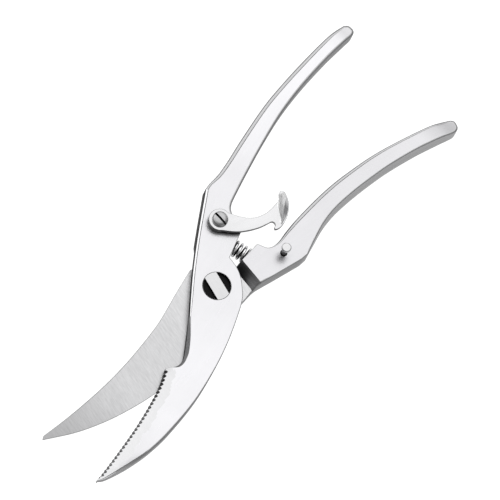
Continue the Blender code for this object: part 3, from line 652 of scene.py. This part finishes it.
rear_back = through([(-1.0, 14.4, 0.1), (-13.5, 12.1, 0.15), (-29.7, 8.9, 0.2), (-44.3, 7.7, 0.25),
                     (-57.5, 7.4, 0.3), (-70.3, 7.9, 0.3), (-83.3, 9.2, 0.3), (-95.5, 10.9, 0.25),
                     (-107.2, 13.0, 0.06)])
rear_line = np.vstack([
    wall_columns(rear_edge, R_SIDE, R_SIDE)[:-1],
    wall_columns(rear_lower, R_WALL, R_ROLLED)[:-1],
    wall_columns(through([(36.5, -20.9, 0.5, 0.3), (40.3, -21.3, 0.7, 0.1)]), R_WALL, R_ROLLED)[:-1],
    wall_columns(rear_handle, R_WALL, R_ROLLED)[:-1],
    wall_columns(rear_inner, R_WALL, R_ROLLED, share=SHALLOW_ROLL)[:-1],
    wall_columns(through([(28.9, -2.6, 0.3), (*rear_shoulder, 0.3)]), R_WALL, R_ROLLED)[:-1],
    wall_columns(through([(*rear_shoulder, 0.3), (17.5, -0.46, 0.2), (*rear_foot, 0.1)], 0.5),
                 R_WALL, R_ROLLED)[:-1],
    wall_columns(arc((0, 0), HUB_R, REAR_SHOULDER_TURN, 78, 0.7, 0.1), R_SIDE, R_SIDE),
    wall_columns(rear_back, R_SIDE, R_SIDE)])


def rear_top(p):
    """The face: the blade that lies behind the front one, a ramp up, and the handle's own face."""
    away = p @ towards(REAR_STEP_TURN)
    step = np.clip((away - STEP_FOOT) / (STEP_TOP - STEP_FOOT), 0, 1)
    return BLADE + (FACE - BLADE) * step - END_DROP * ease(124.5, 138, p[:, X])


def rear_bottom(p):
    """The back: thinned to the tip, with the ground band along the cutting edge."""
    thin = np.clip((TAPER_FROM - p[:, X]) / 72, 0, 1) * TAPER_LOSS * 0.9
    near = distance_to(rear_edge, p)
    ground = 0.2 + (BLADE - GROUND_EDGE - 0.2) * np.clip(1 - near / GROUND_WIDE, 0, 1)
    return np.maximum(thin, np.where(near < GROUND_WIDE, ground, 0.0))


def rear_face_finish(p):
    """Cross ground blade, polished ramp in painted shade, satin handle."""
    away = p @ towards(REAR_STEP_TURN)
    return np.where(away < STEP_FOOT, R_CROSS, np.where(away < STEP_TOP, R_RAMP, R_FACE))


rear = forging("rear_lever_forging", rear_line, rear_top, rear_bottom, rear_face_finish, flat(R_FACE),
               REAR, folds=((REAR_STEP_TURN, STEP_FOOT), (REAR_STEP_TURN, STEP_TOP)), back_round=0.3)
nut_well = turned("cutter", [(0, -1), (8.0, -1), (7.0, 0), (6.9, 0.1), (6.9, 2.95), (4.3, 2.95), (4.3, 11),
                             (0, 11)], bore_painted_shade, sides=128)
stud_hole = turned("cutter", [(0, 5.7), (1.55, 5.7), (1.55, 9.85), (1.7, 10.0), (2.7, 11), (0, 11)],
                   bore_painted_shade, STUD_AT, 48)
combine(rear, join([nut_well, stud_hole, spring_bore(REAR_SHOULDER_TURN, -1)]))
smooth(rear)
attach(rear, "rear")
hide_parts("rear_lever")


# ---------------------------------------------------------------- pivot
# A flush screw turned from bright steel, with two D-shaped recesses for the spanner, holds the levers from
# the front. Behind, a flanged nut and a conical washer sit in a well in the rear lever.

HEAD_R, RECESS_R, RECESS_FLOOR = 6.6, 6.54, 8.4
BAR_FROM, BAR_TO, BAR_TURN = -2.9, 3.1, -109
head_steel = steel("pivot head bright", 0.57, 0.22, grain_turn=BAR_TURN, streak=0.04)
# The D-shaped recesses are painted near black: painted shade in them.
recess_painted_shade = steel("pivot recess, painted shade", 0.012, 0.45, streak=0.3)
screw = turned("pivot_screw_turned", rolled((0, 1.0, 0), (4.0, 1.0, 0.3), (4.0, 7.5, 0),
                                            (HEAD_R, 7.5, 0.1), (HEAD_R, FACE, 0.06), (0, FACE, 0)),
               head_steel, sides=128)
for low, high in ((-12, BAR_FROM), (BAR_TO, 12)):
    disc = turned("cutter", [(0, RECESS_FLOOR), (RECESS_R, RECESS_FLOOR), (RECESS_R, 11), (0, 11)],
                  recess_painted_shade, sides=128)
    keep = prism([(-12, 0), (12, 0), (12, 20), (-12, 20)], low, high, BAR_TURN, recess_painted_shade)
    combine(disc, keep, "INTERSECT")
    combine(screw, disc)
smooth(screw)
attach(screw, "front")
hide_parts("pivot_screw")

nut = turned("pivot_nut_turned", rolled((0, 0.05, 0), (2.2, 0.05, 0.1), (2.4, 0.0, 0.1), (6.6, 0.0, 0.25),
                                        (6.6, 1.6, 0.1), (4.3, 1.6, 0.1), (4.3, 0.7, 0.1), (0, 0.7, 0)),
             steel("pivot nut bright", 0.58, 0.24, streak=0.05), sides=128)
smooth(nut)
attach(nut, "front")
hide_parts("pivot_nut")

spring_steel = steel("spring washer", 0.42, 0.16, streak=0.05, height=1e-6)
cone = turned("pivot_washer_pressed", rolled((4.3, 2.15, 0.1), (6.5, 1.9, 0.1), (6.5, 2.4, 0.1),
                                             (4.3, 2.65, 0.1)), spring_steel)
smooth(cone)
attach(cone, "front")
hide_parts("pivot_spring_washer")


# ---------------------------------------------------------------- opening spring
# A compression coil of spring steel wire. Its ends sit in the bores in the two levers, and its middle bends
# round the pivot, so that it pushes the handles apart.

COIL_R, WIRE_R, TURNS = 3.4, 0.6, 9
BOW = 0.9                       # how far the middle is pushed in towards the pivot
INSET = BORE_DEEP - 0.3 - WIRE_R  # how deep each end of the coil's line sits in its bore
BEND = math.radians(FRONT_SHOULDER_TURN - REAR_SHOULDER_TURN)
# The wire's near-white tone is a painted highlight on the front windings, and its fall to near black below
# the coil's middle is painted shade on the back windings.
wire_painted_light = steel("spring wire, painted light and shade", 0.95, 0.14, streak=0.05, height=1e-6, edge=0.1, rough_vary=0.02,
                   falls=((Z, 5.6, 3.8, 0.04),))


def spring_line(share):
    """Point on the coil's own centre line, from the bore in the front lever to the one in the rear."""
    gap = SPRING_REACH * BEND
    s = share * (2 * INSET + gap)
    if s < INSET:
        wall, back = math.radians(FRONT_SHOULDER_TURN), INSET - s
    elif s > INSET + gap:
        wall, back = math.radians(REAR_SHOULDER_TURN), INSET + gap - s
    else:
        wall, back = math.radians(FRONT_SHOULDER_TURN) - (s - INSET) / SPRING_REACH, 0.0
    reach = SPRING_REACH - BOW * math.sin(math.pi * share) ** 2
    return ((math.cos(wall) * reach - math.sin(wall) * back) * MM,
            (math.sin(wall) * reach + math.cos(wall) * back) * MM, SPRING_LEVEL * MM)


def coil_tree():
    """Winds a round wire about any line: the line is resampled, wound and given its thickness."""
    tree = bpy.data.node_groups.new("wound coil", "GeometryNodeTree")
    face = tree.interface
    face.new_socket("Line", in_out="INPUT", socket_type="NodeSocketGeometry")
    for label in ("Coil radius", "Wire radius", "Turns"):
        face.new_socket(label, in_out="INPUT", socket_type="NodeSocketFloat")
    face.new_socket("Finish", in_out="INPUT", socket_type="NodeSocketMaterial")
    face.new_socket("Coil", in_out="OUTPUT", socket_type="NodeSocketGeometry")
    given = tree.nodes.new("NodeGroupInput").outputs
    sampled = node(tree, "GeometryNodeResampleCurve", [("Curve", given["Line"]), ("Count", 480)])
    share = node(tree, "GeometryNodeSplineParameter").outputs["Factor"]
    angle = maths(tree, "MULTIPLY", maths(tree, "MULTIPLY", share, given["Turns"]), 2 * math.pi)
    along = node(tree, "GeometryNodeInputTangent").outputs[0]
    out = node(tree, "ShaderNodeVectorMath", [(0, (0, 0, 1)), (1, along)],
               operation="CROSS_PRODUCT").outputs[0]
    wide = node(tree, "ShaderNodeVectorMath", [(0, out)], operation="SCALE")
    tree.links.new(maths(tree, "COSINE", angle), wide.inputs["Scale"])
    high = node(tree, "ShaderNodeCombineXYZ", [("Z", maths(tree, "SINE", angle))]).outputs[0]
    both = node(tree, "ShaderNodeVectorMath", [(0, wide.outputs[0]), (1, high)], operation="ADD").outputs[0]
    reach = node(tree, "ShaderNodeVectorMath", [(0, both)], operation="SCALE")
    tree.links.new(given["Coil radius"], reach.inputs["Scale"])
    wound = node(tree, "GeometryNodeSetPosition", [("Geometry", sampled.outputs[0]),
                                                   ("Offset", reach.outputs[0])])
    wire = node(tree, "GeometryNodeCurvePrimitiveCircle", [("Resolution", 14),
                                                           ("Radius", given["Wire radius"])])
    swept = node(tree, "GeometryNodeCurveToMesh", [("Curve", wound.outputs[0]),
                                                   ("Profile Curve", wire.outputs[0]), ("Fill Caps", True)])
    real = node(tree, "GeometryNodeRealizeInstances", [("Geometry", swept.outputs[0])])
    finish = node(tree, "GeometryNodeSetMaterial", [("Geometry", real.outputs[0]),
                                                    ("Material", given["Finish"])])
    end = tree.nodes.new("NodeGroupOutput")
    tree.links.new(finish.outputs[0], end.inputs[0])
    return tree


def by_nodes(name, source, tree, values):
    """The plain mesh that a node tree makes from a source."""
    holder = bpy.data.objects.new("source", source)
    bpy.context.scene.collection.objects.link(holder)
    step = holder.modifiers.new("nodes", "NODES")
    step.node_group = tree
    for socket in tree.interface.items_tree:
        if socket.in_out == "INPUT" and socket.name in values:
            step[socket.identifier] = values[socket.name]
    bpy.context.view_layer.update()
    mesh = bpy.data.meshes.new_from_object(holder.evaluated_get(bpy.context.evaluated_depsgraph_get()))
    holder.modifiers.remove(step)
    bpy.data.objects.remove(holder)
    return link(name, mesh)


line = bpy.data.curves.new("spring line", "CURVE")
line.dimensions = "3D"
spline = line.splines.new("POLY")
spline.points.add(120)
for k in range(121):
    spline.points[k].co = (*spring_line(k / 120), 1.0)
spring = by_nodes("opening_spring_coil", line, coil_tree(),
                  {"Coil radius": COIL_R * MM, "Wire radius": WIRE_R * MM, "Turns": float(TURNS),
                   "Finish": wire_painted_light})
smooth(spring, 60)
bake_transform(spring)
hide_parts("opening_spring")


# ---------------------------------------------------------------- latch
# A stamped and bent steel arm. Its eye turns on a slotted screw in the left handle, over a collar and a thin
# wave washer; its hook catches the stud, and its end is raised into a lip for the thumb.

LATCH, LATCH_THICK = 12.0, 2.0  # level of the arm's back, and its thickness
LIP_TOP = 19.0
latch_face = steel("latch face", 0.64, 0.26, grain_turn=-30, streak=0.03, coarse=0.03)
# The latch's rolled edge, side and back are darker copies of its steel, the back near black: painted shade
# under and round the arm.
latch_rolled_painted_shade = steel("latch edge, painted shade", 0.50, 0.26, streak=0.06)
latch_side_painted_shade = steel("latch side, painted shade", 0.22, 0.30, streak=0.10, edge=0.5)
latch_back_painted_shade = steel("latch back, painted shade", 0.04, 0.40, streak=0.10, edge=0.3)
LATCH_SET = [latch_face, latch_rolled_painted_shade, latch_side_painted_shade, latch_back_painted_shade]
L_FACE, L_ROLLED, L_SIDE, L_BACK = range(4)
latch_eye = arc(EYE, 5.2, -8, 222, 0.4, 0.25)
latch_below = through([(21.0, 14.5, 0.25), (22.3, 12.6, 0.25), (24.0, 10.4, 0.25), (26.1, 8.2, 0.25),
                       (29.6, 5.5, 0.25), (33.4, 3.2, 0.25), (36.8, 1.8, 0.2)], 0.4)
latch_notch = arc((38.4, -0.3), 1.5, 62, -95, 0.3, 0.15)
latch_outer = through([(37.6, -2.6, 0.2), (38.6, -3.4, 0.2), (40.6, -3.9, 0.2), (43.9, -3.6, 0.2),
                       (47.5, -2.3, 0.2), (50.6, -0.2, 0.2), (53.1, 2.5, 0.2), (54.3, 5.3, 0.2),
                       (54.0, 6.9, 0.2), (52.7, 7.2, 0.2), (50.7, 6.1, 0.25), (48.9, 5.1, 0.25),
                       (45.6, 4.9, 0.25), (41.9, 5.2, 0.25), (39.2, 6.0, 0.25), (36.3, 7.4, 0.25),
                       (33.8, 9.7, 0.25), (32.1, 12.0, 0.25), (30.4, 15.2, 0.25)], 0.4)
latch_line = np.vstack([wall_columns(part, L_SIDE, L_ROLLED, share=1.0) for part in
                        (latch_eye, latch_below, latch_notch, latch_outer)])
# The arm's walls and back take the painted shade above.
latch = forging("latch_arm_bent", latch_line, flat(LATCH + LATCH_THICK), flat(LATCH), flat(L_FACE),
                flat(L_BACK), LATCH_SET, spacing=0.8, back_round=0.25, guard=0.1)


def thumb_lip(outer_painted_shade, inner_painted_highlight):
    """The raised end: a thin wall, curved in plan, higher towards its free end."""
    outer = through([(41.8, -3.7), (45.2, -3.1), (48.6, -1.5), (51.4, 0.7), (53.2, 3.2), (53.9, 5.9)], 0.35)
    into = left_of(outer)
    verts, faces = [], []
    rows = len(outer)
    foot = LATCH + LATCH_THICK * 0.5
    bend = LATCH + LATCH_THICK - 0.02
    for i in range(rows):
        t = i / (rows - 1)
        rise = 0.5 + (LIP_TOP - LATCH - LATCH_THICK - 0.55) * float(ease(0.0, 0.62, t))
        rise *= math.sqrt(1 - 0.75 * max(0.0, (t - 0.84) / 0.16) ** 2)
        crest = LATCH + LATCH_THICK + rise
        lean = 0.25 + 2.0 * math.sin(math.pi * t) ** 0.8
        inner = 1.0 + 1.8 * float(ease(0.0, 0.7, t))
        section = [(0.1, foot)]
        section += [(0.1 + (lean - 0.1) * u, bend - 0.3 + (crest - 0.2 - bend + 0.3) * u) for u in
                    np.linspace(0, 1, 7)]
        section += [(lean + 0.06, crest - 0.06), (lean + 0.2, crest), (lean + 0.34, crest - 0.06)]
        section += [(lean + 0.4 + inner * u, bend + (crest - 0.2 - bend) * (1 - u) ** 1.9) for u in
                    np.linspace(0, 1, 12)]
        section += [(lean + 0.4 + inner, foot)]
        sides = len(section)
        for d, z in section:
            verts.append(((outer[i, 0] + into[i, 0] * d) * MM, (outer[i, 1] + into[i, 1] * d) * MM, z * MM))
    for i in range(rows - 1):
        for k in range(sides):
            m = (k + 1) % sides
            faces.append([i * sides + k, i * sides + m, (i + 1) * sides + m, (i + 1) * sides + k])
    faces.append(list(range(sides)))
    faces.append(list(range((rows - 1) * sides, rows * sides)))
    mesh = bpy.data.meshes.new("lip")
    mesh.from_pydata(verts, [], faces)
    mesh.materials.append(outer_painted_shade)
    mesh.materials.append(inner_painted_highlight)
    crest_middle = 9                # facets of a row from its foot, up the outside, to the crest
    # Facets past the crest take the inside's painted highlight, the rest the outside's painted shade.
    for face in mesh.polygons[:(rows - 1) * sides]:
        face.material_index = int(face.index % sides >= crest_middle)
    return link("lip", mesh)


# The lip's outside is painted darker as shade and its inside near white as a painted highlight.
lip = thumb_lip(steel("thumb lip outside, painted shade", 0.50, 0.30, streak=0.01, cloud=0.01, edge=0.8),
                steel("thumb lip inside, painted highlight", 1.0, 0.40, streak=0.01, cloud=0.01))
bpy.context.view_layer.objects.active = lip
bpy.ops.object.mode_set(mode="EDIT")
bpy.ops.mesh.select_all(action="SELECT")
bpy.ops.mesh.normals_make_consistent(inside=False)
bpy.ops.object.mode_set(mode="OBJECT")
combine(latch, lip, "UNION")
combine(latch, turned("cutter", [(0, 11), (2.3, 11), (2.3, 15), (0, 15)], latch_side_painted_shade, EYE, 64))
smooth(latch)
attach(latch, "latch_arm")
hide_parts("latch")

head_turned = steel("latch screw head", 0.42, 0.26, streak=0.06)
# The slot is painted near black: painted shade in it.
slot_painted_shade = steel("screw slot, painted shade", 0.02, 0.5, streak=0.3)
latch_screw = turned("latch_screw_turned", rolled((0, 4.0, 0), (2.0, 4.0, 0.2), (2.0, 14.3, 0),
                                                  (3.65, 14.3, 0.1), (3.65, 14.9, 0.2), (3.2, 15.3, 0.2),
                                                  (2.2, 15.6, 0.3), (1.1, 15.75, 0.3), (0, 15.8, 0)),
                     head_turned, EYE, 96)
slot_cut = prism([(-5, 14.5), (5, 14.5), (5, 17), (-5, 17)], -0.52, 0.52, -97, slot_painted_shade)
slot_cut.data.transform(Matrix.Translation((EYE[0] * MM, EYE[1] * MM, 0)))
combine(latch_screw, slot_cut)
smooth(latch_screw)
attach(latch_screw, "front")
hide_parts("latch_screw")

for name, cad, low, high, finish, slot in (
        ("latch_collar_turned", "latch_spacer", 10.3, 11.1, head_turned, "stud_bright"),
        ("latch_wave_washer_pressed", "latch_wave_washer", 11.4, 11.7, spring_steel, "spring_bright")):
    edge = 0.3 * (high - low)
    collar = turned(name, rolled((2.3, low, edge), (4.4, low, edge), (4.4, high, edge), (2.3, high, edge)),
                    finish, EYE)
    smooth(collar)
    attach(collar, "front")
    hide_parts(cad)


# ---------------------------------------------------------------- latch stud
# A headed pin, turned from bright steel and pressed into the right handle. The latch hooks round its neck.

stud_steel = steel("stud bright", 0.60, 0.20, streak=0.04)
# The neck is painted darker than the head: painted shade under the head.
stud_neck_painted_shade = steel("stud neck, painted shade", 0.30, 0.35, streak=0.10, edge=0.5)
HEAD_BACK = 17.3
stud = turned("latch_stud_turned", rolled((0, 6.0, 0), (1.25, 6.0, 0.2), (1.25, HEAD_BACK, 0.0),
                                          (2.3, HEAD_BACK, 0.15), (2.3, 18.35, 0.3), (1.9, 18.62, 0.25),
                                          (0, 18.7, 0)),
              stud_steel, STUD_AT, 64)
stud.data.materials.append(stud_neck_painted_shade)
# Faces below the head take the neck's painted shade.
for face in stud.data.polygons:
    face.material_index = int(face.center.z < (HEAD_BACK - 0.05) * MM)
smooth(stud)
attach(stud, "rear")
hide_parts("latch_stud")


# ---------------------------------------------------------------- studio
# A white table, a wide soft box above, weaker ones round about, and an even grey room: what satin steel
# shows is mostly what stands round it.

floor_mesh = bpy.data.meshes.new("table")
TABLE_REACH, TABLE_LEVEL = 2, -0.0004  # in metres
floor_mesh.from_pydata([(x * TABLE_REACH, y * TABLE_REACH, TABLE_LEVEL)
                        for x, y in ((-1, -1), (1, -1), (1, 1), (-1, 1))], [], [(0, 1, 2, 3)])
table_paint = bpy.data.materials.new("table white")
table_paint.use_nodes = True
table_shader = table_paint.node_tree.nodes["Principled BSDF"]
table_shader.inputs["Base Color"].default_value = (0.3, 0.3, 0.3, 1)
table_shader.inputs["Roughness"].default_value = 0.9
table_shader.inputs["Specular IOR Level"].default_value = 0.0
table_shader.inputs["Emission Color"].default_value = (1, 1, 1, 1)
table_shader.inputs["Emission Strength"].default_value = 1.0
floor_mesh.materials.append(table_paint)
link("table", floor_mesh)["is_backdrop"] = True

world = bpy.data.worlds.new("studio")
bpy.context.scene.world = world
world.use_nodes = True
sky = world.node_tree
look = node(sky, "ShaderNodeTexCoord").outputs["Generated"]
AMBIENT = 0.20
# direction, angle of full light, angle where it ends, strength
LIGHTS = [((0.36, 0.29, 0.88), 25, 44, 1.20),
          ((0.05, 0.80, 0.60), 10, 24, 0.55),
          ((-0.35, 0.75, 0.56), 8, 22, 0.6),
          ((0.95, -0.05, 0.35), 20, 45, 0.20),
          ((0.0, -0.9, 0.4), 20, 50, 0.30)]
sum_light = None
for direction, full, ends, strength in LIGHTS:
    unit = Vector(direction).normalized()
    facing = node(sky, "ShaderNodeVectorMath", [(0, look), (1, tuple(unit))], operation="DOT_PRODUCT")
    lobe = node(sky, "ShaderNodeMapRange", [("Value", facing.outputs["Value"]),
                                            ("From Min", math.cos(math.radians(ends))),
                                            ("From Max", math.cos(math.radians(full))),
                                            ("To Min", 0.0), ("To Max", strength)],
                interpolation_type="SMOOTHSTEP").outputs[0]
    sum_light = lobe if sum_light is None else maths(sky, "ADD", sum_light, lobe)
level = maths(sky, "ADD", sum_light, AMBIENT)
backdrop = sky.nodes["Background"]
sky.links.new(level, backdrop.inputs["Strength"])
backdrop.inputs["Color"].default_value = (1.0, 1.0, 1.0, 1)

across = Vector((0.6342, -0.7570, 0.1573))
upward = Vector((0.6984, 0.6481, 0.3037))
towards_camera = across.cross(upward).normalized()
upward = towards_camera.cross(across).normalized()
centre = Vector((0, 0, FACE * MM)) + across * 15.09 * MM + upward * 16.35 * MM
DISTANCE, FIELD = 9.0, 0.22775  # from the camera to the shears and the width seen there, in metres
lens = bpy.data.cameras.new("camera")
lens.sensor_width = 36.0
lens.lens = lens.sensor_width * DISTANCE / FIELD
lens.clip_start, lens.clip_end = 0.1, 30
camera = bpy.data.objects.new("camera", lens)
bpy.context.scene.collection.objects.link(camera)
turn = Matrix((across, upward, towards_camera)).transposed().to_4x4()
camera.matrix_world = Matrix.Translation(centre + towards_camera * DISTANCE) @ turn
bpy.context.scene.camera = camera
bpy.context.scene.view_settings.view_transform = "Standard"

low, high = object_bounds()
